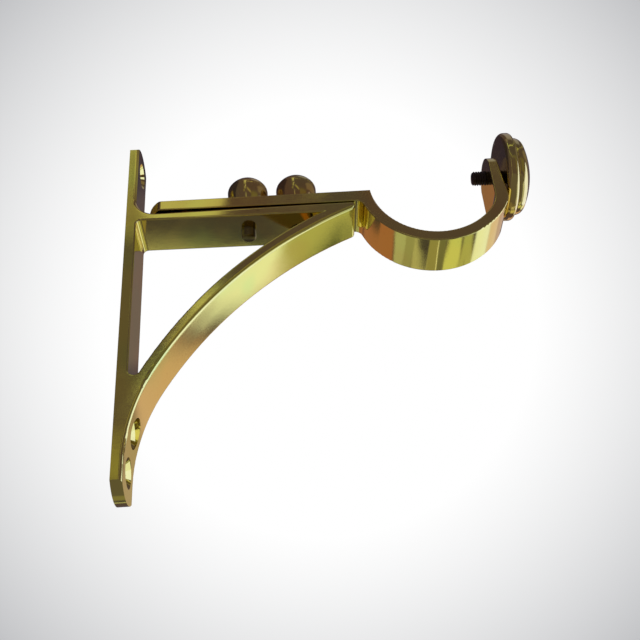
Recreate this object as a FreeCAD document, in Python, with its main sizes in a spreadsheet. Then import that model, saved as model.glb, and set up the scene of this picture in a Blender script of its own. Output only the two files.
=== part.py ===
"""Adjustable curtain pole bracket in cast and polished brass.

A wall casting (tab, leg, arm and curved brace round an open triangle) carries a flat
bar that ends in an open cup for the pole. The bar slides in and out on the arm and two
thumb screws clamp it through a slot. A third, larger thumb screw in the cup's lug
holds the pole.

Frame, in millimetres: the wall is the plane X = 0 and +X points into the room, +Z is
up, and Y = 0 is the middle of the bracket's width. Z = 0 is the top face of the bar.
"""
import FreeCAD, Part
import math
import os

import Sketcher

PARTS_FOLDER = "parts"

# Driving dimensions, each written once.
SIZES = {
    # wall casting
    "width": 16.0,
    "tab_thickness": 2.9,
    "tab_height": 26.4,
    "tab_fillet": 6.0,
    "leg_thickness": 3.2,
    "foot_thickness": 3.3,
    "foot_drop": 98.9,
    "end_arch_extra": 3.1,
    "arm_gap_nose": 0.05,
    "arm_gap_wall": 0.5,
    "arm_under_wall": 7.3,
    "arm_under_brace": 8.0,
    "nose_reach": 72.2,
    "nose_depth": 2.3,
    "nose_rounding": 1.4,
    "brace_radius": 132.0,
    "brace_thickness": 3.45,
    "blend_radius": 60.0,
    "blend_level": 91.0,
    "window_fillet": 1.6,
    "window_foot_fillet": 1.7,
    "contour_rounding": 1.1,
    "window_rounding": 0.5,
    # screw holes in the casting, countersunk for a 4 mm wood screw
    "screw_hole_radius": 2.2,
    "sink_radius": 4.4,
    "tab_hole_level": 18.3,
    "foot_hole_upper": 78.3,
    "foot_hole_lower": 90.2,
    "sink_rise_upper": 0.6,
    # sliding bar and cup
    "bar_root_thickness": 4.15,
    "bar_tail_thickness": 3.6,
    "tail_reach": 6.2,
    "tail_radius": 10.0,
    "tail_corner_radius": 1.5,
    "cup_ahead_of_nose": 25.9,
    "cup_rise": 2.4,
    "cup_radius": 20.8,
    "cup_wall": 4.0,
    "cup_outer_lift": 0.4,
    "cup_root_fillet": 2.7,
    "lug_inset": 1.9,
    "lug_root_thickness": 4.4,
    "lug_top_thickness": 2.4,
    "lug_above_screw": 5.8,
    "lug_shoulder_radius": 8.0,
    "lug_inner_fillet": 10.0,
    "lug_arch_extra": 0.4,
    "bar_rounding": 0.35,
    "slide_travel": 20.0,
    "slot_clearance": 0.25,
    # threaded studs
    "stud_radius": 2.35,
    "thread_clearance": 0.05,
    "stud_chamfer": 0.5,
    # clamp screws
    "rear_screw_reach": 38.0,
    "front_screw_reach": 53.9,
    "rear_stud_proud": 3.0,
    "front_stud_proud": 0.4,
    "knob_seat_gap": 0.05,
    "seat_inset": 1.55,
    "seat_height": 1.0,
    "bun_radius": 6.56,
    "bun_level": 7.5,
    "bun_side": 1.0,
    "bun_crown": 4.35,
    "bun_rounding": 3.0,
    "knob_bore_depth": 8.0,
    # pole screw
    "pole_screw_level": 9.3,
    "pole_stud_proud": 4.4,
    "disc_gap": 0.2,
    "disc_radius": 14.5,
    "disc_thickness": 3.8,
    "disc_rounding": 1.2,
    "disc_back_rounding": 1.6,
    "groove_depth": 2.1,
    "groove_width": 0.6,
    "dome_step": 1.8,
    "dome_side": 2.0,
    "dome_crown": 3.3,
    "dome_rounding": 2.6,
    "disc_bore_depth": 5.0,
    "bore_end_gap": 0.1,
}

# Places worked out from the driving dimensions. Each is a formula in the same sheet.
PLACES = {
    "zero": "0",
    "half_width": "width / 2",
    "minus_half_width": "-half_width",
    "end_arch_radius": "half_width + end_arch_extra",
    "end_arch_rise": "end_arch_radius - sqrt(end_arch_radius ^ 2 - half_width ^ 2)",
    "foot_level": "-foot_drop",
    # arm and nose
    "bar_root_level": "-bar_root_thickness",
    "arm_top_nose": "bar_root_level - arm_gap_nose",
    "arm_top_wall": "bar_root_level - arm_gap_wall",
    "nose_low": "arm_top_nose - nose_depth",
    "arm_low_wall": "-arm_under_wall",
    "arm_low_brace": "-arm_under_brace",
    # brace: a large arc from the nose that runs into a tighter one, tangent to the foot
    "blend_x": "foot_thickness + blend_radius",
    "blend_z": "-blend_level",
    "chord_x": "blend_x - nose_reach",
    "chord_z": "blend_z - nose_low",
    "chord": "sqrt(chord_x ^ 2 + chord_z ^ 2)",
    "chord_foot": "(brace_radius ^ 2 - (brace_radius - blend_radius) ^ 2 + chord ^ 2) / (2 * chord)",
    "chord_offset": "sqrt(brace_radius ^ 2 - chord_foot ^ 2)",
    "brace_x": "nose_reach + (chord_foot * chord_x - chord_offset * chord_z) / chord",
    "brace_z": "nose_low + (chord_foot * chord_z + chord_offset * chord_x) / chord",
    "join_share": "brace_radius / (brace_radius - blend_radius)",
    "join_x": "brace_x + join_share * (blend_x - brace_x)",
    "join_z": "brace_z + join_share * (blend_z - brace_z)",
    # window between leg, arm and brace
    "brace_back_radius": "brace_radius + brace_thickness",
    "window_tip_x": "brace_x - sqrt(brace_back_radius ^ 2 - (arm_low_brace - brace_z) ^ 2)",
    "window_foot_z": "brace_z + sqrt(brace_back_radius ^ 2 - (brace_x - leg_thickness) ^ 2)",
    "under_slope": "(arm_under_brace - arm_under_wall) / (window_tip_x - leg_thickness)",
    # bar and cup
    "bar_tail_level": "-bar_tail_thickness",
    "tail_centre": "tail_reach + tail_radius",
    "tail_corner_reach": "tail_radius - tail_corner_radius",
    "tail_corner_y": "half_width - tail_corner_radius",
    "tail_corner_back": "sqrt(tail_corner_reach ^ 2 - tail_corner_y ^ 2)",
    "tail_side": "tail_centre - tail_corner_back",
    "tail_touch_x": "tail_centre - tail_radius * tail_corner_back / tail_corner_reach",
    "tail_touch_y": "tail_radius * tail_corner_y / tail_corner_reach",
    "minus_tail_touch_y": "-tail_touch_y",
    "cup_reach": "nose_reach + cup_ahead_of_nose",
    "lug_inner_reach": "cup_reach + cup_radius - lug_inset",
    "lug_top_level": "pole_screw_level + lug_above_screw",
    "lug_arch_radius": "half_width + lug_arch_extra",
    "lug_arch_rise": "lug_arch_radius - sqrt(lug_arch_radius ^ 2 - half_width ^ 2)",
    "cup_lip_x": "cup_reach - sqrt(cup_radius ^ 2 - cup_rise ^ 2)",
    "lug_low": "cup_rise - sqrt(cup_radius ^ 2 - (lug_inner_reach - cup_reach) ^ 2)",
    "cup_outer_radius": "cup_radius + cup_wall",
    "cup_outer_z": "cup_rise + cup_outer_lift",
    "root_z": "bar_root_level",
    "root_x": "cup_reach - sqrt(cup_outer_radius ^ 2 - (root_z - cup_outer_z) ^ 2)",
    "lug_outer_top": "lug_inner_reach + lug_top_thickness",
    "shoulder_x": "lug_inner_reach + lug_root_thickness",
    "shoulder_z": "cup_outer_z - sqrt(cup_outer_radius ^ 2 - (shoulder_x - cup_reach) ^ 2)",
    # slot in the bar
    "slot_half_width": "stud_radius + slot_clearance",
    "minus_slot_half_width": "-slot_half_width",
    "slot_front": "front_screw_reach",
    "slot_back": "rear_screw_reach - slide_travel",
    "slot_length": "slot_front - slot_back",
    "slot_width": "2 * slot_half_width",
    # screws
    "thread_radius": "stud_radius + thread_clearance",
    "rear_tip": "-(arm_under_wall + under_slope * (rear_screw_reach - leg_thickness) + rear_stud_proud)",
    "front_tip": "-(arm_under_wall + under_slope * (front_screw_reach - leg_thickness) + front_stud_proud)",
    "arm_hole_depth": "arm_under_brace + 1",
    "knob_bore_end": "knob_seat_gap + knob_bore_depth",
    "rear_stud_length": "knob_bore_end - bore_end_gap - rear_tip",
    "front_stud_length": "knob_bore_end - bore_end_gap - front_tip",
    "seat_radius": "bun_radius - seat_inset",
    "flank_radius": "(seat_inset ^ 2 + (bun_level - seat_height) ^ 2) / (2 * seat_inset)",
    "bun_side_top": "bun_level + bun_side",
    "bun_top": "bun_side_top + bun_crown",
    "bun_crown_radius": "(bun_radius ^ 2 + bun_crown ^ 2) / (2 * bun_crown)",
    "pole_tip_reach": "lug_inner_reach - pole_stud_proud",
    "disc_back_reach": "lug_inner_reach + lug_root_thickness + disc_gap",
    "disc_bore_end": "disc_back_reach + disc_bore_depth",
    "pole_stud_length": "disc_bore_end - bore_end_gap - pole_tip_reach",
    "groove_radius": "disc_radius - groove_depth",
    "dome_radius": "disc_radius - dome_step",
    "groove_top": "disc_thickness + groove_width",
    "dome_side_top": "groove_top + dome_side",
    "dome_top": "dome_side_top + dome_crown",
    "crown_radius": "(dome_radius ^ 2 + dome_crown ^ 2) / (2 * dome_crown)",
    # countersinks: the level of each hole, where its cone starts and where its mouth starts
    "sink_depth": "sink_radius - screw_hole_radius",
    "foot_hole_upper_level": "-foot_hole_upper",
    "foot_hole_lower_level": "-foot_hole_lower",
    "upper_mouth_start": "foot_thickness + sink_rise_upper",
    "tab_sink_start": "tab_thickness - sink_depth",
    "upper_sink_start": "upper_mouth_start - sink_depth",
    "lower_sink_start": "foot_thickness - sink_depth",
}

NEAR = 1e-4


def make_sheet(doc):
    """Put the driving dimensions and the formulas into one sheet with aliases."""
    sheet = doc.addObject("Spreadsheet::Sheet", "Sizes")
    row = 1
    for name, size in SIZES.items():
        sheet.set(f"A{row}", name)
        sheet.set(f"B{row}", str(size))
        sheet.setAlias(f"B{row}", name)
        row += 1
    for name, formula in PLACES.items():
        sheet.set(f"A{row}", name)
        sheet.set(f"B{row}", "=" + formula)
        sheet.setAlias(f"B{row}", name)
        row += 1
    doc.recompute()
    return sheet


def bind(feature, **links):
    """Bind properties of a feature to aliases of the sheet; '__' stands for a dot."""
    for name, alias in links.items():
        feature.setExpression(name.replace("__", "."), f"Sizes.{alias}")


def origin_plane(body, role):
    """Return the body's own origin plane with that role."""
    return next(item for item in body.Origin.OriginFeatures if item.Role == role)


def new_body(doc, label):
    """Start an empty body for one sub-part."""
    body = doc.addObject("PartDesign::Body", label)
    body.Label = label
    return body


def arc_between(start, end, radius, side):
    """Return the minor arc from start to end, with its centre on the left (1) or right (-1)."""
    chord = end.sub(start)
    reach = math.sqrt(radius ** 2 - (chord.Length / 2) ** 2)
    normal = FreeCAD.Vector(-chord.y, chord.x, 0).normalize()
    centre = start.add(chord.multiply(0.5)).add(normal.multiply(side * reach))
    circle = Part.Circle(centre, FreeCAD.Vector(0, 0, 1), radius)
    first, last = (start, end) if side > 0 else (end, start)
    return Part.ArcOfCircle(circle, circle.parameter(first), circle.parameter(last))


def outline(body, sheet, name, role, corners):
    """Draw one closed outline on an origin plane of the body.

    Each corner is (x alias, y alias), with None for zero. A corner whose next edge is an
    arc adds the alias of its radius and 1 or -1 for a centre on the left or the right.
    """
    sketch = body.newObject("Sketcher::SketchObject", name)
    sketch.AttachmentSupport = [(origin_plane(body, role), "")]
    sketch.MapMode = "FlatFace"

    def size(alias):
        return 0.0 if alias is None else float(sheet.get(alias))

    places = [FreeCAD.Vector(size(corner[0]), size(corner[1]), 0) for corner in corners]
    ends = []
    for index, corner in enumerate(corners):
        start = places[index]
        end = places[(index + 1) % len(places)]
        if len(corner) == 2:
            edge = sketch.addGeometry(Part.LineSegment(start, end), False)
            ends.append((edge, 1, 2))
            continue
        arc = arc_between(start, end, size(corner[2]), corner[3])
        edge = sketch.addGeometry(arc, False)
        ends.append((edge, 1, 2) if corner[3] > 0 else (edge, 2, 1))
        radius = sketch.addConstraint(Sketcher.Constraint("Radius", edge, size(corner[2])))
        sketch.setExpression(f"Constraints[{radius}]", f"Sizes.{corner[2]}")
    for index, corner in enumerate(corners):
        edge, first, last = ends[index]
        following, joined, _ = ends[(index + 1) % len(ends)]
        sketch.addConstraint(Sketcher.Constraint("Coincident", edge, last, following, joined))
        for kind, alias, axis in (("DistanceX", corner[0], -2), ("DistanceY", corner[1], -1)):
            if alias is None:
                sketch.addConstraint(Sketcher.Constraint("PointOnObject", edge, first, axis))
                continue
            fixed = sketch.addConstraint(
                Sketcher.Constraint(kind, -1, 1, edge, first, size(alias)))
            sketch.setExpression(f"Constraints[{fixed}]", f"Sizes.{alias}")
    return sketch


def pad(body, sketch, name, length):
    """Pad a sketch by half of the length each way from its plane."""
    feature = body.newObject("PartDesign::Pad", name)
    feature.Profile = sketch
    feature.SideType = "Symmetric"
    bind(feature, Length=length)
    return feature


def cut_through(body, sketch, name):
    """Cut a sketch's outline through the whole body, both ways from its plane."""
    feature = body.newObject("PartDesign::Pocket", name)
    feature.Profile = sketch
    feature.SideType = "Symmetric"
    feature.Type = "ThroughAll"
    return feature


def primitive(body, kind, name, role, offset, **links):
    """Add or cut a primitive that stands on an origin plane, moved by aliases."""
    feature = body.newObject(f"PartDesign::{kind}", name)
    feature.AttachmentSupport = [(origin_plane(body, role), "")]
    feature.MapMode = "FlatFace"
    for axis, alias in offset.items():
        feature.setExpression(f"AttachmentOffset.Base.{axis}", f"Sizes.{alias}")
    bind(feature, **links)
    return feature


def edges_where(feature, test):
    """Name the edges of a feature's shape that pass a test."""
    names = []
    for index, edge in enumerate(feature.Shape.Edges, start=1):
        if test(edge):
            names.append(f"Edge{index}")
    if not names:
        raise RuntimeError(f"no edge of {feature.Name} passes its test")
    return names


def round_edges(body, name, radius, test):
    """Round every edge of the body's tip that passes a test."""
    body.Document.recompute()
    base = body.Tip
    feature = body.newObject("PartDesign::Fillet", name)
    feature.Base = (base, edges_where(base, test))
    bind(feature, Radius=radius)
    body.Document.recompute()
    return feature


def ends_of(edge):
    """Return the points at an edge's two ends and its middle."""
    middle = edge.valueAt((edge.FirstParameter + edge.LastParameter) / 2)
    return [edge.valueAt(edge.FirstParameter), middle, edge.valueAt(edge.LastParameter)]


def runs_across(edge, x, z):
    """Tell whether an edge runs along Y at that x and z."""
    return all(abs(point.x - x) < NEAR and abs(point.z - z) < NEAR for point in ends_of(edge))


def make_casting(doc, sheet):
    """Wall casting: tab, leg, foot, arm and brace in one piece round an open triangle."""
    body = new_body(doc, "bracket_casting")
    side = outline(body, sheet, "CastingSide", "XZ_Plane", [
        (None, "tab_height"),
        (None, "foot_level"),
        ("foot_thickness", "foot_level"),
        ("foot_thickness", "blend_z", "blend_radius", -1),
        ("join_x", "join_z", "brace_radius", -1),
        ("nose_reach", "nose_low"),
        ("nose_reach", "arm_top_nose"),
        ("tab_thickness", "arm_top_wall"),
        ("tab_thickness", "tab_height"),
    ])
    pad(body, side, "CastingBlank", "width")
    tab_x = sheet.tab_thickness
    nose_x = sheet.nose_reach
    round_edges(body, "TabFillet", "tab_fillet",
                lambda edge: runs_across(edge, tab_x, sheet.arm_top_wall))
    round_edges(body, "NoseRounding", "nose_rounding",
                lambda edge: runs_across(edge, nose_x, sheet.nose_low))
    cut_arch(body, sheet, "TabArch", "end_arch", "tab_height", 1)
    cut_arch(body, sheet, "FootArch", "end_arch", "foot_level", -1)
    round_edges(body, "ContourRounding", "contour_rounding",
                lambda edge: on_front_contour(edge, sheet))
    window = outline(body, sheet, "WindowSide", "XZ_Plane", [
        ("leg_thickness", "arm_low_wall"),
        ("leg_thickness", "window_foot_z", "brace_back_radius", -1),
        ("window_tip_x", "arm_low_brace"),
    ])
    cut_through(body, window, "Window")
    round_edges(body, "WindowFillet", "window_fillet",
                lambda edge: runs_across(edge, sheet.leg_thickness, sheet.arm_low_wall))
    round_edges(body, "WindowFootFillet", "window_foot_fillet",
                lambda edge: runs_across(edge, sheet.leg_thickness, sheet.window_foot_z))
    cut_thread_holes(body, sheet)
    round_edges(body, "WindowRounding", "window_rounding",
                lambda edge: on_window_edge(edge, sheet))
    cut_screw_holes(body)
    return body


def cut_arch(body, sheet, name, arch, end_level, up):
    """Cut an end that points up (1) or down (-1) to an arch seen from the front."""
    sketch = body.newObject("Sketcher::SketchObject", name + "Sketch")
    sketch.AttachmentSupport = [(origin_plane(body, "YZ_Plane"), "")]
    sketch.MapMode = "FlatFace"
    draw_arch_waste(sketch, sheet, arch, end_level, up)
    return cut_through(body, sketch, name)


def draw_arch_waste(sketch, sheet, arch, end_level, up):
    """Draw the waste beyond an arch: its side corners, and a flat line clear of its end."""
    half = sheet.half_width
    end = float(sheet.get(end_level))
    rise = float(sheet.get(arch + "_rise"))
    radius = float(sheet.get(arch + "_radius"))
    spring = end - up * rise
    clear = end + up * rise
    left = FreeCAD.Vector(-half, spring, 0)
    right = FreeCAD.Vector(half, spring, 0)
    arc = arc_between(left, right, radius, -up)
    first, last = (2, 1) if up > 0 else (1, 2)
    sketch.addGeometry(arc, False)
    sketch.addGeometry(Part.LineSegment(right, FreeCAD.Vector(half, clear, 0)), False)
    sketch.addGeometry(Part.LineSegment(
        FreeCAD.Vector(half, clear, 0), FreeCAD.Vector(-half, clear, 0)), False)
    sketch.addGeometry(Part.LineSegment(FreeCAD.Vector(-half, clear, 0), left), False)
    sketch.addConstraint([
        Sketcher.Constraint("Coincident", 0, last, 1, 1),
        Sketcher.Constraint("Coincident", 1, 2, 2, 1),
        Sketcher.Constraint("Coincident", 2, 2, 3, 1),
        Sketcher.Constraint("Coincident", 3, 2, 0, first),
        Sketcher.Constraint("Vertical", 1),
        Sketcher.Constraint("Vertical", 3),
        Sketcher.Constraint("Horizontal", 2),
        Sketcher.Constraint("Symmetric", 0, first, 0, last, -2),
    ])
    sizes = {
        ("Radius", 0): (f"{arch}_radius", radius),
        ("DistanceX", -1, 1, 1, 1): ("half_width", half),
        ("DistanceY", -1, 1, 1, 1): (f"{end_level} - {up} * Sizes.{arch}_rise", spring),
        ("DistanceY", -1, 1, 2, 1): (f"{end_level} + {up} * Sizes.{arch}_rise", clear),
    }
    for place, (formula, size) in sizes.items():
        fixed = sketch.addConstraint(Sketcher.Constraint(*place, size))
        sketch.setExpression(f"Constraints[{fixed}]", f"Sizes.{formula}")


def on_front_contour(edge, sheet):
    """Tell whether an edge bounds the tab's, arm's, nose's, brace's or foot's front outline."""
    points = ends_of(edge)
    if any(point.x < NEAR for point in points):
        return False
    on_side = all(abs(abs(point.y) - sheet.half_width) < NEAR for point in points)
    on_arch = all(abs(point.x - points[0].x) < NEAR for point in points) and \
        abs(points[1].y) < NEAR and edge.Curve.TypeId == "Part::GeomCircle"
    return on_side or on_arch


def on_window_edge(edge, sheet):
    """Tell whether an edge is on a side face and bounds the window."""
    points = ends_of(edge)
    if any(abs(abs(point.y) - sheet.half_width) > NEAR for point in points):
        return False
    middle = points[1]
    if middle.x < sheet.leg_thickness - NEAR or middle.z > sheet.arm_low_wall + NEAR:
        return False
    from_brace = math.hypot(middle.x - sheet.brace_x, middle.z - sheet.brace_z)
    return from_brace > sheet.brace_back_radius - NEAR


def cut_screw_holes(body):
    """Cut the three countersunk wall screw holes: one in the tab, two in the foot."""
    holes = (
        ("Tab", "tab_hole_level", "tab_sink_start", "tab_thickness"),
        ("FootUpper", "foot_hole_upper_level", "upper_sink_start", "upper_mouth_start"),
        ("FootLower", "foot_hole_lower_level", "lower_sink_start", "foot_thickness"),
    )
    for name, level, sink_start, mouth_start in holes:
        primitive(body, "SubtractiveCylinder", name + "Hole", "YZ_Plane", {"y": level},
                  Radius="screw_hole_radius", Height="foot_thickness")
        primitive(body, "SubtractiveCone", name + "Sink", "YZ_Plane", {"y": level, "z": sink_start},
                  Radius1="screw_hole_radius", Radius2="sink_radius", Height="sink_depth")
        primitive(body, "SubtractiveCylinder", name + "Mouth", "YZ_Plane",
                  {"y": level, "z": mouth_start}, Radius="sink_radius", Height="foot_thickness")


def cut_thread_holes(body, sheet):
    """Tap the arm for the two clamp screws, from its top face to the window."""
    for name, reach in (("RearThread", "rear_screw_reach"), ("FrontThread", "front_screw_reach")):
        sketch = body.newObject("Sketcher::SketchObject", name + "Sketch")
        sketch.AttachmentSupport = [(origin_plane(body, "XY_Plane"), "")]
        sketch.MapMode = "FlatFace"
        draw_circle(sketch, sheet, reach, None, "thread_radius")
        hole = body.newObject("PartDesign::Pocket", name)
        hole.Profile = sketch
        bind(hole, Length="arm_hole_depth")


def draw_circle(sketch, sheet, x_alias, y_alias, radius):
    """Draw one circle with its centre and radius bound to the sheet."""
    x = float(sheet.get(x_alias)) if x_alias else 0.0
    y = float(sheet.get(y_alias)) if y_alias else 0.0
    size = float(sheet.get(radius))
    circle = sketch.addGeometry(
        Part.Circle(FreeCAD.Vector(x, y, 0), FreeCAD.Vector(0, 0, 1), size), False)
    for kind, alias, value, axis in (
        ("DistanceX", x_alias, x, -2),
        ("DistanceY", y_alias, y, -1),
    ):
        if alias is None:
            sketch.addConstraint(Sketcher.Constraint("PointOnObject", circle, 3, axis))
            continue
        fixed = sketch.addConstraint(Sketcher.Constraint(kind, -1, 1, circle, 3, value))
        sketch.setExpression(f"Constraints[{fixed}]", f"Sizes.{alias}")
    fixed = sketch.addConstraint(Sketcher.Constraint("Radius", circle, size))
    sketch.setExpression(f"Constraints[{fixed}]", f"Sizes.{radius}")


def make_cup_arm(doc, sheet):
    """Sliding bar that ends in the open cup and the lug for the pole screw."""
    body = new_body(doc, "cup_arm")
    side = outline(body, sheet, "CupArmSide", "XZ_Plane", [
        ("tail_reach", None),
        ("tail_reach", "bar_tail_level"),
        ("root_x", "root_z", "cup_outer_radius", 1),
        ("shoulder_x", "shoulder_z"),
        ("lug_outer_top", "lug_top_level"),
        ("lug_inner_reach", "lug_top_level"),
        ("lug_inner_reach", "lug_low", "cup_radius", -1),
        ("cup_lip_x", None),
    ])
    pad(body, side, "CupArmBlank", "width")
    round_edges(body, "CupRootFillet", "cup_root_fillet",
                lambda edge: runs_across(edge, sheet.root_x, sheet.root_z))
    round_edges(body, "LugShoulder", "lug_shoulder_radius",
                lambda edge: runs_across(edge, sheet.shoulder_x, sheet.shoulder_z))
    round_edges(body, "LugInnerFillet", "lug_inner_fillet",
                lambda edge: runs_across(edge, sheet.lug_inner_reach, sheet.lug_low))
    tail = outline(body, sheet, "TailWaste", "XY_Plane", [
        (None, "half_width"),
        (None, "minus_half_width"),
        ("tail_side", "minus_half_width", "tail_corner_radius", -1),
        ("tail_touch_x", "minus_tail_touch_y", "tail_radius", -1),
        ("tail_touch_x", "tail_touch_y", "tail_corner_radius", -1),
        ("tail_side", "half_width"),
    ])
    cut_through(body, tail, "TailArc")
    round_edges(body, "ArmRounding", "bar_rounding",
                lambda edge: on_cup_arm_side(edge, sheet) or on_tail_face(edge, sheet))
    cut_arch(body, sheet, "LugArch", "lug_arch", "lug_top_level", 1)
    cut_slot(body)
    cut_lug_thread(body, sheet)
    return body


def cut_slot(body):
    """Cut the round-ended slot that both clamp studs pass through."""
    for name, end in (("SlotBack", "slot_back"), ("SlotFront", "slot_front")):
        primitive(body, "SubtractiveCylinder", name, "XY_Plane", {"x": end, "z": "bar_root_level"},
                  Radius="slot_half_width", Height="bar_root_thickness")
    primitive(body, "SubtractiveBox", "SlotMiddle", "XY_Plane",
              {"x": "slot_back", "y": "minus_slot_half_width", "z": "bar_root_level"},
              Length="slot_length", Width="slot_width", Height="bar_root_thickness")


def on_cup_arm_side(edge, sheet):
    """Tell whether an edge bounds a side face of the bar and cup."""
    return all(abs(abs(point.y) - sheet.half_width) < NEAR for point in ends_of(edge))


def on_tail_face(edge, sheet):
    """Tell whether an edge bounds the bar's top or bottom face at its rounded tail."""
    points = ends_of(edge)
    if any(point.x > sheet.tail_side + NEAR for point in points):
        return False
    return all(point.z > -NEAR for point in points) or \
        all(point.z < sheet.bar_tail_level + NEAR for point in points)


def cut_lug_thread(body, sheet):
    """Tap the lug for the pole screw."""
    sketch = body.newObject("Sketcher::SketchObject", "LugThreadSketch")
    sketch.AttachmentSupport = [(origin_plane(body, "YZ_Plane"), "")]
    sketch.MapMode = "FlatFace"
    draw_circle(sketch, sheet, None, "pole_screw_level", "thread_radius")
    cut_through(body, sketch, "LugThread")


def make_stud(doc, label, length, place):
    """Threaded stud, drawn as a plain rod of its outer diameter with chamfered ends."""
    body = new_body(doc, label)
    rod = primitive(body, "AdditiveCylinder", label + "_rod", "XY_Plane", {},
                    Radius="stud_radius", Height=length)
    doc.recompute()
    ends = body.newObject("PartDesign::Chamfer", label + "_ends")
    ends.Base = (rod, edges_where(rod, lambda edge: edge.isClosed()))
    bind(ends, Size="stud_chamfer")
    stand_on(body, place)
    return body


def stand_on(body, place):
    """Bind a body's position to the sheet, from a mapping of axis to alias."""
    for axis, alias in place.items():
        body.setExpression(f"Placement.Base.{axis}", f"Sizes.{alias}")


def make_clamp_knob(doc, sheet, label, reach):
    """Turned knob on a narrow seat: flaring flank, rounded rim and crown, bored from below."""
    body = new_body(doc, label)
    half = outline(body, sheet, label + "_half", "XZ_Plane", [
        (None, None),
        ("seat_radius", None),
        ("seat_radius", "seat_height", "flank_radius", 1),
        ("bun_radius", "bun_level"),
        ("bun_radius", "bun_side_top", "bun_crown_radius", 1),
        (None, "bun_top"),
    ])
    turn(body, half, label + "_turned")
    round_edges(body, label + "_rim", "bun_rounding",
                lambda edge: is_rim(edge, sheet.bun_radius, sheet.bun_side_top))
    primitive(body, "SubtractiveCylinder", label + "_bore", "XY_Plane", {},
              Radius="thread_radius", Height="knob_bore_depth")
    stand_on(body, {"x": reach, "z": "knob_seat_gap"})
    return body


def turn(body, half, name):
    """Turn half an outline once round the body's Z axis."""
    turned = body.newObject("PartDesign::Revolution", name)
    turned.Profile = half
    turned.ReferenceAxis = (half, ["V_Axis"])
    turned.Angle = 360
    body.Document.recompute()


def make_pole_knob(doc, sheet):
    """Turned disc knob of the pole screw: flange, groove and dome, bored from its back."""
    body = new_body(doc, "pole_screw_knob")
    half = outline(body, sheet, "DiscHalf", "XZ_Plane", [
        (None, None),
        ("disc_radius", None),
        ("disc_radius", "disc_thickness"),
        ("groove_radius", "disc_thickness"),
        ("groove_radius", "groove_top"),
        ("dome_radius", "groove_top"),
        ("dome_radius", "dome_side_top", "crown_radius", 1),
        (None, "dome_top"),
    ])
    turn(body, half, "Disc")
    rims = (
        ("DiscBackRim", "disc_back_rounding", "disc_radius", "zero"),
        ("DiscFrontRim", "disc_rounding", "disc_radius", "disc_thickness"),
        ("DomeRim", "dome_rounding", "dome_radius", "dome_side_top"),
    )
    for name, rounding, radius, level in rims:
        round_edges(body, name, rounding,
                    lambda edge: is_rim(edge, sheet.get(radius), sheet.get(level)))
    primitive(body, "SubtractiveCylinder", "DiscBore", "XY_Plane", {},
              Radius="thread_radius", Height="disc_bore_depth")
    lay_along_x(body)
    stand_on(body, {"x": "disc_back_reach", "z": "pole_screw_level"})
    return body


def is_rim(edge, radius, height):
    """Tell whether an edge is a circle of that radius round Z at that height."""
    return all(abs(math.hypot(point.x, point.y) - radius) < NEAR
               and abs(point.z - height) < NEAR for point in ends_of(edge))


def lay_along_x(body):
    """Turn a body that was made along +Z to lie along +X."""
    body.Placement = FreeCAD.Placement(
        FreeCAD.Vector(), FreeCAD.Rotation(FreeCAD.Vector(0, 1, 0), 90))


def check(doc, parts):
    """Stop if any object failed or any sub-part's shape isn't sound."""
    failed = [item.Name for item in doc.Objects if {"Invalid", "Error"} & set(item.State)]
    if failed:
        raise RuntimeError("failed objects: " + ", ".join(failed))
    for part in parts:
        if part.Shape.isNull() or not part.Shape.isValid() or len(part.Shape.Solids) != 1:
            raise RuntimeError(part.Label + " isn't one sound solid")


def main():
    """Build the document, check it and write one file for each sub-part."""
    doc = FreeCAD.newDocument("curtain_pole_bracket")
    sheet = make_sheet(doc)
    parts = [
        make_casting(doc, sheet),
        make_cup_arm(doc, sheet),
        make_clamp_knob(doc, sheet, "rear_clamp_knob", "rear_screw_reach"),
        make_stud(doc, "rear_clamp_stud", "rear_stud_length", {"x": "rear_screw_reach", "z": "rear_tip"}),
        make_clamp_knob(doc, sheet, "front_clamp_knob", "front_screw_reach"),
        make_stud(doc, "front_clamp_stud", "front_stud_length", {"x": "front_screw_reach", "z": "front_tip"}),
        make_pole_knob(doc, sheet),
    ]
    pole_stud = make_stud(doc, "pole_screw_stud", "pole_stud_length",
                          {"x": "pole_tip_reach", "z": "pole_screw_level"})
    lay_along_x(pole_stud)
    parts.append(pole_stud)
    doc.recompute()
    check(doc, parts)
    os.makedirs(PARTS_FOLDER, exist_ok=True)
    for part in parts:
        part.Shape.exportStep(os.path.join(PARTS_FOLDER, part.Label + ".step"))
        box = part.Shape.optimalBoundingBox(False)
        corners = (box.XMin, box.XMax, box.YMin, box.YMax, box.ZMin, box.ZMax)
        print(part.Label, "volume", round(part.Shape.Volume, 1), "box", [round(c, 2) for c in corners])


main()
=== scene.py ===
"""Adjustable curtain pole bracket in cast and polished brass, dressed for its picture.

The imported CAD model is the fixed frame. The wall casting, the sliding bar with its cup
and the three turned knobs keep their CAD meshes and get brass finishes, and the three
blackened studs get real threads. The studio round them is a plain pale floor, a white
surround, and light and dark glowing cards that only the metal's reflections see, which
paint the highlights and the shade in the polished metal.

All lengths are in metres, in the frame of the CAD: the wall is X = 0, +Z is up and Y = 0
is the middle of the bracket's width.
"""
import logging
import math
from dataclasses import dataclass, field
from enum import Enum

import bpy
import numpy as np
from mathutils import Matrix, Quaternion, Vector


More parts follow.
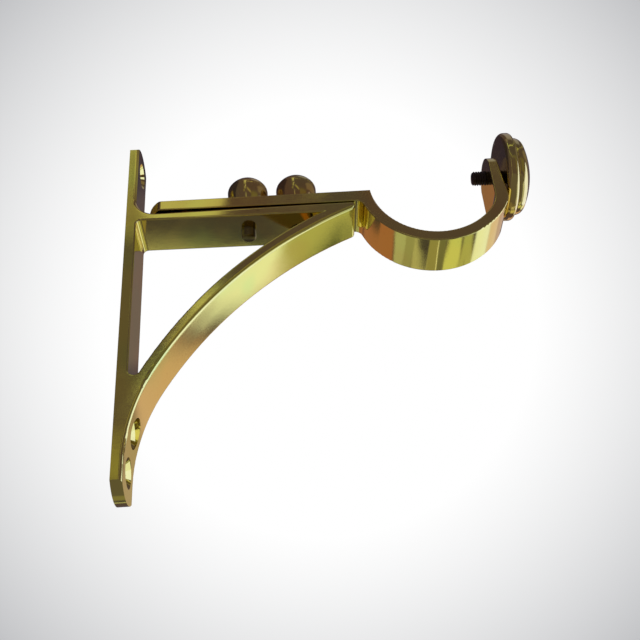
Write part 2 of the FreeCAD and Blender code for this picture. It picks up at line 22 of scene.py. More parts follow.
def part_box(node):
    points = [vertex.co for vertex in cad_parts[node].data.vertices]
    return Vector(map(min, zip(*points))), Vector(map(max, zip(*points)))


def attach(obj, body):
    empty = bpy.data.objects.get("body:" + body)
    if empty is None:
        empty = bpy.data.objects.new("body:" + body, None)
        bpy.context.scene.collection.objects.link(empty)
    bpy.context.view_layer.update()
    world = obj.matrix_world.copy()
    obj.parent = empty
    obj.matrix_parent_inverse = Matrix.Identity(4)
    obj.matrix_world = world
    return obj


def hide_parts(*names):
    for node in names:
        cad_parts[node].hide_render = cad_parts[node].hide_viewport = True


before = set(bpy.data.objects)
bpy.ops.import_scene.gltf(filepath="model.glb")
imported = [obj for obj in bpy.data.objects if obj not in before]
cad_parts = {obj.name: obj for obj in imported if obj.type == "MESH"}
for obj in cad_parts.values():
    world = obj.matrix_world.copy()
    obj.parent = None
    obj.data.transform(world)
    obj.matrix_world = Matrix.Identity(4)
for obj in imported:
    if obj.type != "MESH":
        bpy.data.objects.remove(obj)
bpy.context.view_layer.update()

MM = 0.001

log = logging.getLogger("pole_bracket")

Colour = tuple[float, float, float]
Point = tuple[float, float, float]
Spread = tuple[float, float]


class Axis(Enum):
    """The direction that a screw runs in, as an index into a point."""

    X = 0
    Z = 2


class Wiring:
    """Adds nodes to one node tree and joins their sockets."""

    def __init__(self, tree: bpy.types.NodeTree) -> None:
        """Start with an empty tree.

        Args:
            tree: The node tree of a material, a world or a group.
        """
        self.tree = tree
        tree.nodes.clear()

    def add(self, kind: str, **settings: object) -> bpy.types.Node:
        """Add one node.

        Args:
            kind: The node's Blender type.
            **settings: Properties of the node to set.

        Returns:
            The new node.
        """
        node = self.tree.nodes.new(kind)
        for name, value in settings.items():
            setattr(node, name, value)
        return node

    def join(self, source: bpy.types.NodeSocket, target: bpy.types.NodeSocket) -> None:
        """Join an output socket to an input socket."""
        self.tree.links.new(source, target)

    def math(self, operation: str, first: object, second: object = None) -> bpy.types.NodeSocket:
        """Add a Math node fed with sockets or numbers.

        Args:
            operation: The Math node's operation.
            first: The first value, a socket or a number.
            second: The second value, where the operation has one.

        Returns:
            The result's socket.
        """
        node = self.add("ShaderNodeMath", operation=operation)
        for index, value in enumerate((first, second)):
            if isinstance(value, bpy.types.NodeSocket):
                self.join(value, node.inputs[index])
            elif value is not None:
                node.inputs[index].default_value = value
        return node.outputs[0]

    def noise(self, vector: bpy.types.NodeSocket, scale: object, detail: float,
              roughness: float = 0.5) -> bpy.types.NodeSocket:
        """Add a Noise texture.

        Args:
            vector: The socket of the place to read the noise at.
            scale: Its scale, a socket or a number, in waves for each metre.
            detail: Its number of octaves.
            roughness: How much the finer octaves weigh.

        Returns:
            The noise's factor socket.
        """
        node = self.add("ShaderNodeTexNoise")
        self.join(vector, node.inputs["Vector"])
        if isinstance(scale, bpy.types.NodeSocket):
            self.join(scale, node.inputs["Scale"])
        else:
            node.inputs["Scale"].default_value = scale
        node.inputs["Detail"].default_value = detail
        node.inputs["Roughness"].default_value = roughness
        return node.outputs["Fac"]

    def stretch(self, vector: bpy.types.NodeSocket, scale: Point) -> bpy.types.NodeSocket:
        """Scale a place along each axis, so that a pattern read there is drawn out.

        Args:
            vector: The socket of the place.
            scale: The factor along X, Y and Z.

        Returns:
            The scaled place's socket.
        """
        node = self.add("ShaderNodeMapping")
        node.inputs["Scale"].default_value = scale
        self.join(vector, node.inputs["Vector"])
        return node.outputs["Vector"]

    def ramp(self, value: bpy.types.NodeSocket, low: float, high: float,
             shape: str = "SMOOTHSTEP") -> bpy.types.NodeSocket:
        """Spread the part of a value between two limits over 0 to 1.

        Args:
            value: The socket of the value.
            low: The value that becomes 0.
            high: The value that becomes 1.
            shape: The Map Range node's kind of interpolation.

        Returns:
            The spread value's socket.
        """
        node = self.add("ShaderNodeMapRange", interpolation_type=shape)
        self.join(value, node.inputs["Value"])
        node.inputs["From Min"].default_value = low
        node.inputs["From Max"].default_value = high
        return node.outputs["Result"]

    def mix(self, share: bpy.types.NodeSocket, first: object, second: object) -> bpy.types.NodeSocket:
        """Mix two colours.

        Args:
            share: The socket that gives the second colour's share.
            first: The first colour, a socket or three numbers.
            second: The second colour, a socket or three numbers.

        Returns:
            The mixed colour's socket.
        """
        node = self.add("ShaderNodeMix", data_type="RGBA")
        self.join(share, node.inputs["Factor"])
        for name, value in (("A", first), ("B", second)):
            socket = next(s for s in node.inputs if s.name == name and s.type == "RGBA")
            if isinstance(value, bpy.types.NodeSocket):
                self.join(value, socket)
            else:
                socket.default_value = (*value, 1.0)
        return next(s for s in node.outputs if s.type == "RGBA")


def new_material(name: str) -> tuple[bpy.types.Material, Wiring]:
    """Make a material with an empty node tree.

    Args:
        name: The material's name.

    Returns:
        The material and the wiring of its tree.
    """
    material = bpy.data.materials.new(name)
    material.use_nodes = True
    return material, Wiring(material.node_tree)


def add_object(name: str, data: bpy.types.ID) -> bpy.types.Object:
    """Make an object from a mesh, a lamp or a camera, and put it into the scene.

    Args:
        name: The object's name.
        data: Its mesh, lamp or camera.

    Returns:
        The object.
    """
    thing = bpy.data.objects.new(name, data)
    bpy.context.collection.objects.link(thing)
    return thing


def rectangle_mesh(name: str, width: float, depth: float, level: float = 0.0) -> bpy.types.Mesh:
    """Make a mesh of one flat rectangle, centred on Z and square to it.

    Args:
        name: The mesh's name.
        width: Its length along X.
        depth: Its length along Y.
        level: Its height along Z.

    Returns:
        The mesh.
    """
    x, y = width / 2, depth / 2
    corners = [(-x, -y, level), (x, -y, level), (x, y, level), (-x, y, level)]
    mesh = bpy.data.meshes.new(name)
    mesh.from_pydata(corners, [], [(0, 1, 2, 3)])
    return mesh


def direction_at(azimuth: float, elevation: float) -> Vector:
    """Return the direction at an azimuth, from +Y towards +X, and an elevation, in degrees."""
    side, up = math.radians(azimuth), math.radians(elevation)
    return Vector((math.sin(side) * math.cos(up), math.cos(side) * math.cos(up), math.sin(up)))


def aim(thing: bpy.types.Object, direction: Vector, roll: float = 0.0) -> None:
    """Turn an object so that its -Z axis points in a direction.

    Args:
        thing: The object.
        direction: The direction.
        roll: The further turn about the object's own Z axis, in degrees.
    """
    level = direction.to_track_quat("-Z", "Y")
    thing.rotation_mode = "QUATERNION"
    thing.rotation_quaternion = level @ Quaternion((0, 0, 1), math.radians(roll))


@dataclass
class EffectGroup:
    """A shader node group with named inputs and outputs, built once and placed many times."""

    name: str
    inputs: tuple[tuple[str, str], ...]
    outputs: tuple[tuple[str, str], ...]
    tree: bpy.types.NodeTree | None = field(default=None, init=False)

    def open(self) -> tuple[Wiring, bpy.types.Node, bpy.types.Node]:
        """Make the group's tree and its sockets.

        Returns:
            The wiring of the tree, its input node and its output node.
        """
        self.tree = bpy.data.node_groups.new(self.name, "ShaderNodeTree")
        for direction, sockets in (("INPUT", self.inputs), ("OUTPUT", self.outputs)):
            for name, kind in sockets:
                self.tree.interface.new_socket(name, in_out=direction, socket_type=kind)
        wiring = Wiring(self.tree)
        return wiring, wiring.add("NodeGroupInput"), wiring.add("NodeGroupOutput")

    def place(self, wiring: Wiring, vector: bpy.types.NodeSocket,
              **values: object) -> bpy.types.Node:
        """Place the group in a material.

        Args:
            wiring: The wiring of the material's tree.
            vector: The socket of the place on the piece.
            **values: The group's other inputs, with "_" for a space in a name.

        Returns:
            The group's node.
        """
        node = wiring.add("ShaderNodeGroup", node_tree=self.tree)
        wiring.join(vector, node.inputs["Vector"])
        for name, value in values.items():
            socket = node.inputs[name.replace("_", " ")]
            socket.default_value = (*value, 1.0) if isinstance(value, tuple) else value
        return node


VALUE = "NodeSocketFloat"
COLOUR = "NodeSocketColor"
PLACE = "NodeSocketVector"


class MetalEffects:
    """The three effects that the bracket's metals share.

    A spread is the part of a noise, from low to high, that becomes 0 to 1.
    """

    warm_spread: Spread = (0.44, 0.68)
    green_spread: Spread = (0.5, 0.7)
    green_shift: Point = (0.31, 0.17, 0.23)
    speck_spread: Spread = (0.66, 0.78)
    line_stretch: Point = (0.12, 1.0, 1.0)
    patch_spread: Spread = (0.35, 0.7)
    patch_share: float = 0.75
    fine_share: float = 0.25
    fine_scale: float = 2600.0

    def __init__(self) -> None:
        """Build each effect's group once."""
        self.tarnish = self._make_tarnish()
        self.buffing = self._make_buffing()
        self.handling = self._make_handling()

    def _make_tarnish(self) -> EffectGroup:
        """Colour that drifts from clean metal to a warmer and a greener tarnish.

        Returns:
            The group, whose Color is the clean colour, mixed with the warm colour where a
            slow noise is high, then with the green one where the same noise, read at a
            shifted place, is high, and then with the specks' where a fine noise is high.
        """
        group = EffectGroup(
            "tarnish_drift",
            (("Vector", PLACE), ("Clean", COLOUR), ("Warm", COLOUR), ("Green", COLOUR),
             ("Scale", VALUE), ("Speck Scale", VALUE), ("Speck Colour", COLOUR)),
            (("Color", COLOUR),))
        wiring, given, result = group.open()
        place = given.outputs["Vector"]
        warm = wiring.ramp(
            wiring.noise(place, given.outputs["Scale"], 2.0), *self.warm_spread)
        shifted = wiring.add("ShaderNodeVectorMath", operation="ADD")
        wiring.join(place, shifted.inputs[0])
        shifted.inputs[1].default_value = self.green_shift
        green = wiring.ramp(
            wiring.noise(shifted.outputs[0], given.outputs["Scale"], 2.0), *self.green_spread)
        speck = wiring.ramp(
            wiring.noise(place, given.outputs["Speck Scale"], 3.0, 0.7), *self.speck_spread)
        colour = wiring.mix(warm, given.outputs["Clean"], given.outputs["Warm"])
        colour = wiring.mix(green, colour, given.outputs["Green"])
        colour = wiring.mix(speck, colour, given.outputs["Speck Colour"])
        wiring.join(colour, result.inputs["Color"])
        return group

    def _make_buffing(self) -> EffectGroup:
        """Height of a hand-buffed face: a slow waviness and fine drawn-out wheel lines.

        Returns:
            The group, whose Height is the sum of the two, each with its own strength.
        """
        group = EffectGroup(
            "buffed_face",
            (("Vector", PLACE), ("Wave Scale", VALUE), ("Wave", VALUE),
             ("Line Scale", VALUE), ("Lines", VALUE)),
            (("Height", VALUE),))
        wiring, given, result = group.open()
        place = given.outputs["Vector"]
        wave = wiring.noise(place, given.outputs["Wave Scale"], 1.0)
        drawn = wiring.stretch(place, self.line_stretch)
        lines = wiring.noise(drawn, given.outputs["Line Scale"], 4.0, 0.7)
        height = wiring.math(
            "ADD",
            wiring.math("MULTIPLY", wave, given.outputs["Wave"]),
            wiring.math("MULTIPLY", lines, given.outputs["Lines"]))
        wiring.join(height, result.inputs["Height"])
        return group

    def _make_handling(self) -> EffectGroup:
        """Roughness of a polish that fingers have dulled in patches.

        Returns:
            The group, whose Roughness runs from Bright to Dull with a share that is the
            sum of a slow noise and a fine noise, each by its own weight.
        """
        group = EffectGroup(
            "handled_polish",
            (("Vector", PLACE), ("Bright", VALUE), ("Dull", VALUE), ("Scale", VALUE)),
            (("Roughness", VALUE),))
        wiring, given, result = group.open()
        place = given.outputs["Vector"]
        patch = wiring.ramp(
            wiring.noise(place, given.outputs["Scale"], 3.0), *self.patch_spread)
        fine = wiring.noise(place, self.fine_scale, 2.0)
        span = wiring.math("SUBTRACT", given.outputs["Dull"], given.outputs["Bright"])
        share = wiring.math(
            "ADD",
            wiring.math("MULTIPLY", patch, self.patch_share),
            wiring.math("MULTIPLY", fine, self.fine_share))
        rough = wiring.math(
            "ADD", given.outputs["Bright"], wiring.math("MULTIPLY", span, share))
        wiring.join(rough, result.inputs["Roughness"])
        return group


@dataclass(frozen=True)
class MetalFinish:
    """A metal finish: its colours, its polish and its small unevenness."""

    name: str
    clean: Colour
    warm: Colour
    green: Colour
    speck: Colour
    patch_scale: float = 38.0
    speck_scale: float = 900.0
    bright: float = 0.045
    dull: float = 0.12
    handling_scale: float = 70.0
    wave_scale: float = 45.0
    wave: float = 1.0
    line_scale: float = 3200.0
    lines: float = 0.03
    bump_distance: float = 0.0004
    bump_strength: float = 0.35

    def make(self, effects: MetalEffects) -> bpy.types.Material:
        """Build the finish's material from the shared effects.

        Args:
            effects: The groups that every metal shares.

        Returns:
            The material.
        """
        material, wiring = new_material(self.name)
        place = wiring.add("ShaderNodeTexCoord").outputs["Object"]
        metal = wiring.add("ShaderNodeBsdfPrincipled")
        metal.inputs["Metallic"].default_value = 1.0
        colour = effects.tarnish.place(
            wiring, place, Clean=self.clean, Warm=self.warm, Green=self.green,
            Scale=self.patch_scale, Speck_Scale=self.speck_scale, Speck_Colour=self.speck)
        wiring.join(colour.outputs["Color"], metal.inputs["Base Color"])
        polish = effects.handling.place(
            wiring, place, Bright=self.bright, Dull=self.dull, Scale=self.handling_scale)
        wiring.join(polish.outputs["Roughness"], metal.inputs["Roughness"])
        face = effects.buffing.place(
            wiring, place, Wave_Scale=self.wave_scale, Wave=self.wave,
            Line_Scale=self.line_scale, Lines=self.lines)
        bump = wiring.add("ShaderNodeBump")
        bump.inputs["Distance"].default_value = self.bump_distance
        bump.inputs["Strength"].default_value = self.bump_strength
        wiring.join(face.outputs["Height"], bump.inputs["Height"])
        wiring.join(bump.outputs["Normal"], metal.inputs["Normal"])
        output = wiring.add("ShaderNodeOutputMaterial")
        wiring.join(metal.outputs["BSDF"], output.inputs["Surface"])
        return material


CAST_BRASS = MetalFinish(
    "cast_brass",
    clean=(0.78, 0.66, 0.20), warm=(0.77, 0.58, 0.18), green=(0.68, 0.66, 0.20),
    speck=(0.42, 0.30, 0.10), wave=0.9)
BAR_BRASS = MetalFinish(
    "bar_brass",
    clean=(0.78, 0.65, 0.20), warm=(0.77, 0.54, 0.17), green=(0.69, 0.65, 0.21),
    speck=(0.44, 0.30, 0.10), wave=1.1)
TURNED_BRASS = MetalFinish(
    "turned_brass",
    clean=(0.76, 0.60, 0.20), warm=(0.72, 0.48, 0.16), green=(0.66, 0.60, 0.20),
    speck=(0.40, 0.26, 0.10), wave=0.4, patch_scale=60.0,
    bright=0.06, dull=0.16)
BLACKENED_STEEL = MetalFinish(
    "blackened_steel",
    clean=(0.080, 0.062, 0.055), warm=(0.120, 0.075, 0.055), green=(0.055, 0.055, 0.055),
    speck=(0.20, 0.17, 0.14), bright=0.28, dull=0.45, wave=0.2, lines=0.06)
WORN_STEEL = MetalFinish(
    "worn_blackened_steel",
    clean=(0.30, 0.24, 0.10), warm=(0.22, 0.15, 0.07), green=(0.20, 0.19, 0.08),
    speck=(0.10, 0.08, 0.05), bright=0.30, dull=0.45, wave=0.2, lines=0.06)


def closed_turning(name: str, rings: np.ndarray, first: np.ndarray,
                   last: np.ndarray) -> bpy.types.Object:
    """Make a mesh from rings of points round an axis, closed by a fan at each end.

    Ring i and point j form the grid point (i, j), and j wraps round. The quad (i, j) joins
    the points (i, j), (i, j + 1), (i + 1, j + 1) and (i + 1, j), and the fans join the
    first and last rings to one point each.

    Args:
        name: The piece's name.
        rings: Points of shape (rings, points, 3), in metres.
        first: The point that closes the first ring.
        last: The point that closes the last ring.

    Returns:
        The piece, with its place in its mesh.
    """
    count, around = rings.shape[:2]
    vertices = np.vstack((rings.reshape(-1, 3), first, last))
    i, j = np.meshgrid(np.arange(count - 1), np.arange(around), indexing="ij")
    wrapped = (j + 1) % around
    quads = np.stack((i * around + j, i * around + wrapped,
                      (i + 1) * around + wrapped, (i + 1) * around + j), -1).reshape(-1, 4)
    start, end = count * around, count * around + 1
    j = np.arange(around)
    wrapped = (j + 1) % around
    top = (count - 1) * around
    fans = np.vstack((
        np.stack((np.full(around, start), wrapped, j), -1),
        np.stack((np.full(around, end), top + j, top + wrapped), -1)))
    mesh = bpy.data.meshes.new(name)
    mesh.from_pydata(vertices, [], [*quads.tolist(), *fans.tolist()])
    mesh.polygons.foreach_set("use_smooth", np.ones(len(mesh.polygons), bool))
    mesh.update()
    return add_object(name, mesh)


@dataclass
class ThreadedStud:
    """A blackened stud with a real right-hand thread, in place of its plain CAD rod.

    A bare stud is one whose blacking has worn to bronze.
    """

    node: str
    body: str
    axis: Axis
    bare: bool = False
    pitch: float = 0.81 * MM
    depth: float = 0.30 * MM
    chamfer: float = 0.5 * MM
    flank_slope: float = 1.5
    steps_per_pitch: int = 8
    points_around: int = 48

    def make(self, finish: bpy.types.Material) -> bpy.types.Object:
        """Build the threaded stud over its CAD rod.

        Its radius is the rod's, less the thread's depth times a rounded saw wave of
        (distance along / pitch - angle / full turn), and no more than the end chamfers
        leave: the rod's radius less the chamfer plus the distance from the nearer end.

        Args:
            finish: The material of the studs.

        Returns:
            The stud, riding on its body.
        """
        low, high = (np.array(corner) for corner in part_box(self.node))
        along = self.axis.value
        across = [index for index in range(3) if index != along]
        length = high[along] - low[along]
        radius = (high[across[0]] - low[across[0]]) / 2
        count = int(length / self.pitch * self.steps_per_pitch)
        distance = np.linspace(0.0, length, count)[:, None]
        angle = np.linspace(0.0, 2 * math.pi, self.points_around, endpoint=False)[None, :]
        turn = distance / self.pitch - angle / (2 * math.pi)
        flank = np.abs(2 * (turn - np.floor(turn)) - 1)
        valley = np.clip(self.flank_slope * flank - (self.flank_slope - 1) / 2, 0.0, 1.0)
        smooth = valley * valley * (3 - 2 * valley)
        from_end = np.minimum(distance, length - distance)
        reach = np.minimum(radius - self.depth * smooth, radius - self.chamfer + from_end)
        rings = np.empty((count, self.points_around, 3))
        middle = (low + high) / 2
        rings[..., across[0]] = middle[across[0]] + reach * np.cos(angle)
        rings[..., across[1]] = middle[across[1]] + reach * np.sin(angle)
        rings[..., along] = low[along] + distance
        first, last = middle.copy(), middle.copy()
        first[along] = low[along]
        last[along] = high[along]
        piece = closed_turning(self.node + "_threaded", rings, first, last)
        piece.data.materials.append(finish)
        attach(piece, self.body)
        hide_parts(self.node)
        log.info("%s: %d rings of %d points", piece.name, count, self.points_around)
        return piece


def dress_node(node: str, finish: bpy.types.Material) -> None:
    """Give a CAD node its finish in every one of its material slots.

    Args:
        node: The node's name.
        finish: The material.
    """
    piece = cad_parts[node]
    if not piece.material_slots:
        piece.data.materials.append(finish)
    for slot in piece.material_slots:
        slot.material = finish
    log.info("%s: finished in %s", node, finish.name)


@dataclass
class WallCasting:
    """The cast wall plate, arm and curved brace, drilled and countersunk."""

    node: str = "bracket_casting"

    def build(self, effects: MetalEffects) -> None:
        """Dress the casting in cast brass."""
        dress_node(self.node, CAST_BRASS.make(effects))


@dataclass
class SlidingCup:
    """The flat bar that slides on the arm, with the pole's cup and the lug."""

    node: str = "cup_arm"

    def build(self, effects: MetalEffects) -> None:
        """Dress the bar and cup in the bar's brass."""
        dress_node(self.node, BAR_BRASS.make(effects))


@dataclass
class ThumbScrews:
    """The two clamp screws and the pole screw: turned knobs on threaded studs."""

    knobs: tuple[str, ...] = ("rear_clamp_knob", "front_clamp_knob", "pole_screw_knob")
    studs: tuple[ThreadedStud, ...] = (
        ThreadedStud("rear_clamp_stud", "rear_stud", Axis.Z, bare=True),
        ThreadedStud("front_clamp_stud", "front_stud", Axis.Z, bare=True),
        ThreadedStud("pole_screw_stud", "pole_stud", Axis.X),
    )

    def build(self, effects: MetalEffects) -> None:
        """Dress the knobs in turned brass and build the threaded studs.

        Args:
            effects: The groups that every metal shares.
        """
        brass = TURNED_BRASS.make(effects)
        steel = BLACKENED_STEEL.make(effects)
        worn = WORN_STEEL.make(effects)
        for knob in self.knobs:
            dress_node(knob, brass)
        for stud in self.studs:
            stud.make(worn if stud.bare else steel)


@dataclass(frozen=True)
class Card:
    """A flat glowing card of the studio that paints a highlight or a shade into the metal;
    only the metal's reflections see it.

    It stands square to the line from the bracket's middle, and its place and size are
    angles in degrees as seen from there: azimuth 0 is behind the bracket (+Y), 90 is out
    in the room (+X) and 180 is the photographer's side.
    """

    name: str
    azimuth: float
    elevation: float
    width: float
    height: float
    colour: Colour
    soft: float = 0.3
    roll: float = 0.0
    reach: float = 0.80


@dataclass(frozen=True)
class Lamp:
    """A soft square lamp that points at the bracket, its side in metres and power in watts."""

    name: str
    place: Point
    side: float
    power: float


@dataclass
class Studio:
    """Plain pale floor, white surround, soft lamps, and a dark tent with cards and windows.

    The tent and its cards glow, and only the polished metal's reflections see them: they
    paint the metal's highlights and shade. The windows are bright cards of the same kind.
    """

    middle: Point = (0.060, 0.0, -0.030)
    floor_level: float = -0.820
    floor_half: float = 30.0
    floor_colour: Colour = (0.80, 0.80, 0.80)
    floor_roughness: float = 0.9
    surround: Colour = (1.0, 1.0, 1.0)
    surround_edge: Colour = (0.545, 0.550, 0.565)
    surround_spread: Spread = (0.975, 0.904)
    tent_radius: float = 1.5
    tent_rings: int = 14
    tent_points_around: int = 48
    tent_crown_gap: float = 0.02
    tent_colour: Colour = (0.100, 0.076, 0.100)
    mat_colour: Colour = (0.14, 0.13, 0.13)
    mat_lift: float = 0.010
    card_step: float = 0.005
    # Each card is painted light: a glow that puts a highlight or a shade into a part of the metal's
    # reflection. A name tells where the card stands or which part it paints; none is a real wall,
    # window, shelf or cloth.
    cards: tuple[Card, ...] = (
        Card("left_wall", -66, 38, 92, 64, (0.036, 0.026, 0.046), 0.15),
        Card("disc_wall", -14, 54, 30, 18, (0.036, 0.026, 0.046), 0.15),
        Card("right_front_wall", 140, -2, 50, 50, (0.165, 0.150, 0.085), 0.5),
        Card("right_back_wall", 86, 33, 74, 22, (0.21, 0.175, 0.165), 0.4),
        Card("ceiling_right", 80, 72, 50, 30, (0.30, 0.29, 0.40), 0.5),
        Card("ceiling_front", -172, 68, 30, 18, (0.22, 0.20, 0.22), 0.5),
        Card("shelf_back", 50, 48, 27, 5, (0.30, 0.27, 0.16), 0.5),
        Card("shelf_middle", 89, 48, 27, 5, (0.29, 0.26, 0.17), 0.5),
        Card("shelf_front", 128, 48, 27, 5, (0.27, 0.25, 0.16), 0.5),
        Card("shelf_end", 165, 46.5, 25, 4, (0.58, 0.58, 0.31), 0.3),
        Card("low_back_cloth", -5, -55, 50, 22, (0.25, 0.24, 0.15), 0.4),
        Card("low_right_cloth", 86, -49, 60, 24, (0.55, 0.62, 0.66), 0.3),
        Card("window_return", 116, -21, 22, 26, (0.33, 0.35, 0.31), 0.3),
        Card("big_window", 73, -23, 58, 28, (1.00, 1.18, 1.55), 0.10),
        Card("dome_window", 80, -5, 64, 52, (1.10, 1.30, 2.20), 0.15, reach=0.28),
        Card("right_column_top", 38, 25, 13, 18, (0.60, 0.45, 0.42), 0.5),
        Card("right_column_middle", 43, 12, 12, 20, (0.84, 0.70, 0.62), 0.5),
        Card("brace_top_card", 11, 18, 22, 12, (0.46, 0.36, 0.23), 0.5),
        Card("brace_tan_card", 24, 8, 17, 20, (0.72, 0.51, 0.41), 0.4),
        Card("right_green_card", 34.5, -16, 12, 19, (0.50, 0.54, 0.27), 0.25),
        Card("right_window", 39, -3.5, 15, 21, (1.00, 1.15, 1.25), 0.32),
        Card("low_right_window", 30, -44, 22, 10, (0.58, 0.66, 0.50), 0.4),
        Card("nose_shade", 33.9, -15.6, 2.2, 8, (0.10, 0.12, 0.08), 0.4, roll=12),
        Card("low_green_card", 26, -29.5, 16, 12, (0.70, 0.77, 0.37), 0.3),
        Card("cup_gold_card", 5, -38, 17, 9, (0.34, 0.34, 0.19), 0.15),
        Card("cup_olive_card", 15.5, -37, 7, 8, (0.20, 0.21, 0.14), 0.25),
        Card("cup_line", 10.8, -37, 0.9, 8, (0.95, 1.00, 0.90), 0.4),
        Card("cup_pale_card", -12, -34, 21, 7, (0.52, 0.55, 0.40), 0.25),
        Card("arm_shade", -10.5, -40.3, 14.5, 9.0, (0.072, 0.068, 0.090), 0.06),
        Card("brace_shade", -41.5, 16, 15, 24, (0.07, 0.06, 0.06), 0.15, reach=0.17),
        Card("left_olive_card", -25.5, -30, 13, 12, (0.36, 0.39, 0.27), 0.25),
        Card("left_green_card", -32.5, -23, 13, 12.5, (0.48, 0.55, 0.43), 0.20),
        Card("left_copper_card", -37, 4, 15, 43, (0.41, 0.185, 0.115), 0.12),
        Card("tab_card", 5.5, 35, 9, 12, (0.19, 0.14, 0.14), 0.3),
        Card("lug_copper_card", -8, 42, 13, 5, (0.31, 0.150, 0.080), 0.3),
        Card("upper_left_window", -166, 49, 9.5, 20, (0.57, 0.62, 0.37), 0.08),
        Card("leg_top_card", -162.0, 42.5, 2.7, 9, (0.27, 0.28, 0.16), 0.3),
        Card("leg_brown_card", -161.2, 31, 6, 15, (0.135, 0.112, 0.100), 0.3),
        Card("leg_gold_card", -162, 20, 8, 6, (0.30, 0.29, 0.12), 0.5),
        Card("brace_side_strip", -168.5, 30, 3.6, 14, (0.64, 0.68, 0.40), 0.3, roll=25),
        Card("gold_strip", 173, 20, 32, 5.5, (0.40, 0.38, 0.18), 0.5, roll=31),
        Card("front_strip", -171, -13, 5, 60, (0.42, 0.43, 0.29), 0.4),
        Card("rim_light", 101, 8, 4, 26, (1.10, 1.20, 1.70), 0.3),
    )
    lamps: tuple[Lamp, ...] = (
        Lamp("key_lamp", (-0.25, -0.45, 0.75), 0.45, 2.2),
        Lamp("fill_lamp", (0.75, -0.25, 0.25), 0.60, 1.4),
    )

    def build(self) -> None:
        """Make the floor, the surround, the tent with its cards, and the lamps."""
        self._make_floor()
        self._make_surround()
        self._make_tent()
        for layer, card in enumerate(self.cards):
            self._make_card(card, card.reach * (1.0 - layer * self.card_step))
        for lamp in self.lamps:
            self._make_lamp(lamp)

    def _make_tent(self) -> None:
        """Make the dark tent, a glowing dome that stands on a dark glowing mat just over the floor.

        Only reflections see it, where its dark glow paints shade into the polished metal.

        Its points are the middle plus the radius times (cos height cos angle,
        cos height sin angle, sin height), from the mat up to just short of the crown.
        """
        around, up = self.tent_points_around, self.tent_rings
        level = self.floor_level + self.mat_lift
        low = math.asin((level - self.middle[2]) / self.tent_radius)
        height = np.linspace(low, math.pi / 2 - self.tent_crown_gap, up)[:, None]
        angle = np.linspace(0.0, 2 * math.pi, around, endpoint=False)[None, :]
        rings = np.empty((up, around, 3))
        rings[..., 0] = self.middle[0] + self.tent_radius * np.cos(height) * np.cos(angle)
        rings[..., 1] = self.middle[1] + self.tent_radius * np.cos(height) * np.sin(angle)
        rings[..., 2] = self.middle[2] + self.tent_radius * np.sin(height)
        foot = np.array((self.middle[0], self.middle[1], level))
        crown = np.array((self.middle[0], self.middle[1], self.middle[2] + self.tent_radius))
        tent = closed_turning("tent", rings, foot, crown)
        # The tent's dark glow is painted shade in the metal's reflections.
        tent.data.materials.append(self._glow("tent_dark_glow", self.tent_colour))
        tent.data.materials.append(self._glow("tent_mat", self.mat_colour))
        quads = (up - 1) * around
        for polygon in tent.data.polygons[quads:quads + around]:
            polygon.material_index = 1
        self._show_in_sheen_only(tent)

    @staticmethod
    def _glow(name: str, colour: Colour) -> bpy.types.Material:
        """Make a material that glows evenly in one colour.

        Args:
            name: The material's name.
            colour: The glow's colour.

        Returns:
            The material.
        """
        material, wiring = new_material(name)
        glow = wiring.add("ShaderNodeEmission")
        glow.inputs["Color"].default_value = (*colour, 1.0)
        output = wiring.add("ShaderNodeOutputMaterial")
        wiring.join(glow.outputs[0], output.inputs["Surface"])
        return material

    @staticmethod
    def _show_in_sheen_only(thing: bpy.types.Object) -> None:
        """Let only reflections see a thing of the studio.

        Args:
            thing: The tent or a card.
        """
        thing.visible_camera = False
        thing.visible_diffuse = False
        thing.visible_shadow = False
        thing.visible_transmission = False

    def _make_floor(self) -> None:
        """Make the floor, a square far below the bracket."""
        side = 2 * self.floor_half
        mesh = rectangle_mesh("floor", side, side, self.floor_level)
        floor = add_object("floor", mesh)
        material = bpy.data.materials.new("floor_paint")
        material.use_nodes = True
        paint = material.node_tree.nodes["Principled BSDF"]
        paint.inputs["Base Color"].default_value = (*self.floor_colour, 1.0)
        paint.inputs["Roughness"].default_value = self.floor_roughness
        mesh.materials.append(material)

    def _make_surround(self) -> None:
        """Make the white surround, which darkens away from the middle of the photo's view."""
        world = bpy.data.worlds.new("surround")
        bpy.context.scene.world = world
        world.use_nodes = True
        wiring = Wiring(world.node_tree)
        place = wiring.add("ShaderNodeTexCoord").outputs["Generated"]
        turned = wiring.add("ShaderNodeVectorMath", operation="DOT_PRODUCT")
        wiring.join(place, turned.inputs[0])
        turned.inputs[1].default_value = PhotoCamera().direction()
        share = wiring.ramp(turned.outputs["Value"], *self.surround_spread, "LINEAR")
        light = wiring.add("ShaderNodeBackground")
        light.inputs["Strength"].default_value = 1.0
        wiring.join(wiring.mix(share, self.surround, self.surround_edge), light.inputs["Color"])
        output = wiring.add("ShaderNodeOutputWorld")
        wiring.join(light.outputs["Background"], output.inputs["Surface"])

    def _make_card(self, card: Card, distance: float) -> None:
        """Make one card, seen only in reflections, with edges that fade where it is soft.

        Args:
            card: The card's direction, size and colour.
            distance: How far it stands from the bracket's middle.
        """
        width, height = (2 * distance * math.tan(math.radians(angle / 2))
                         for angle in (card.width, card.height))
        mesh = rectangle_mesh(card.name, width, height)
        panel = add_object(card.name, mesh)
        toward = direction_at(card.azimuth, card.elevation)
        panel.location = Vector(self.middle) + distance * toward
        aim(panel, toward, card.roll)
        mesh.materials.append(self._card_material(card, width, height))
        self._show_in_sheen_only(panel)

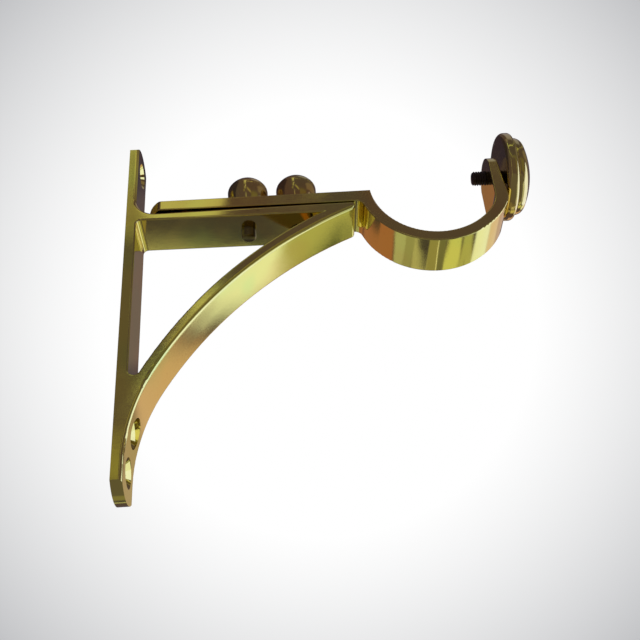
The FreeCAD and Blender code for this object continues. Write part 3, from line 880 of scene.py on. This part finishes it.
    @staticmethod
    def _card_material(card: Card, width: float, height: float) -> bpy.types.Material:
        """Make a card's material: an even glow that fades to clear at its edges.

        Args:
            card: The card.
            width: Its width.
            height: Its height.

        Returns:
            The material, whose share of glow is the product over both directions of
            a smooth step from the edge inwards.
        """
        material, wiring = new_material(card.name)
        place = wiring.add("ShaderNodeSeparateXYZ")
        wiring.join(wiring.add("ShaderNodeTexCoord").outputs["Object"], place.inputs[0])
        shares = []
        for socket, size in ((place.outputs["X"], width), (place.outputs["Y"], height)):
            edge = wiring.math("SUBTRACT", 1.0, wiring.math(
                "DIVIDE", wiring.math("ABSOLUTE", socket), size / 2))
            shares.append(wiring.ramp(edge, 0.0, card.soft))
        glow = wiring.add("ShaderNodeEmission")
        glow.inputs["Color"].default_value = (*card.colour, 1.0)
        clear = wiring.add("ShaderNodeBsdfTransparent")
        mixed = wiring.add("ShaderNodeMixShader")
        wiring.join(wiring.math("MULTIPLY", *shares), mixed.inputs[0])
        wiring.join(clear.outputs[0], mixed.inputs[1])
        wiring.join(glow.outputs[0], mixed.inputs[2])
        output = wiring.add("ShaderNodeOutputMaterial")
        wiring.join(mixed.outputs[0], output.inputs["Surface"])
        return material

    def _make_lamp(self, lamp: Lamp) -> None:
        """Make one soft square lamp that points at the bracket, unseen in reflections.

        Args:
            lamp: The lamp's place, side and power.
        """
        light = bpy.data.lights.new(lamp.name, "AREA")
        light.shape = "SQUARE"
        light.size = lamp.side
        light.energy = lamp.power
        stand = add_object(lamp.name, light)
        stand.location = lamp.place
        aim(stand, Vector(self.middle) - Vector(lamp.place))
        stand.visible_glossy = False


@dataclass
class PhotoCamera:
    """The photograph's camera, which looks up at the bracket from in front and below."""

    place: Point = (0.04986, -0.23773, -0.20416)
    azimuth: float = 2.08
    elevation: float = 34.0
    roll: float = -4.51
    lens: float = 53.73
    sensor: float = 36.0
    nearest: float = 0.01
    farthest: float = 50.0

    def direction(self) -> Vector:
        """Return the direction that the camera looks in."""
        return direction_at(self.azimuth, self.elevation)

    def build(self) -> bpy.types.Object:
        """Make the camera and set it as the scene's.

        Returns:
            The camera.
        """
        data = bpy.data.cameras.new("photo_camera")
        data.lens = self.lens
        data.sensor_width = self.sensor
        data.clip_start = self.nearest
        data.clip_end = self.farthest
        camera = add_object("photo_camera", data)
        camera.location = self.place
        aim(camera, self.direction(), self.roll)
        bpy.context.scene.camera = camera
        return camera


def main() -> None:
    """Build the camera, the studio and each sub-assembly in turn."""
    logging.basicConfig(level=logging.INFO, format="%(name)s: %(message)s")
    bpy.context.scene.view_settings.view_transform = "Standard"
    PhotoCamera().build()
    Studio().build()
    effects = MetalEffects()
    for assembly in (WallCasting(), SlidingCup(), ThumbScrews()):
        assembly.build(effects)


if __name__ == "__main__":
    main()
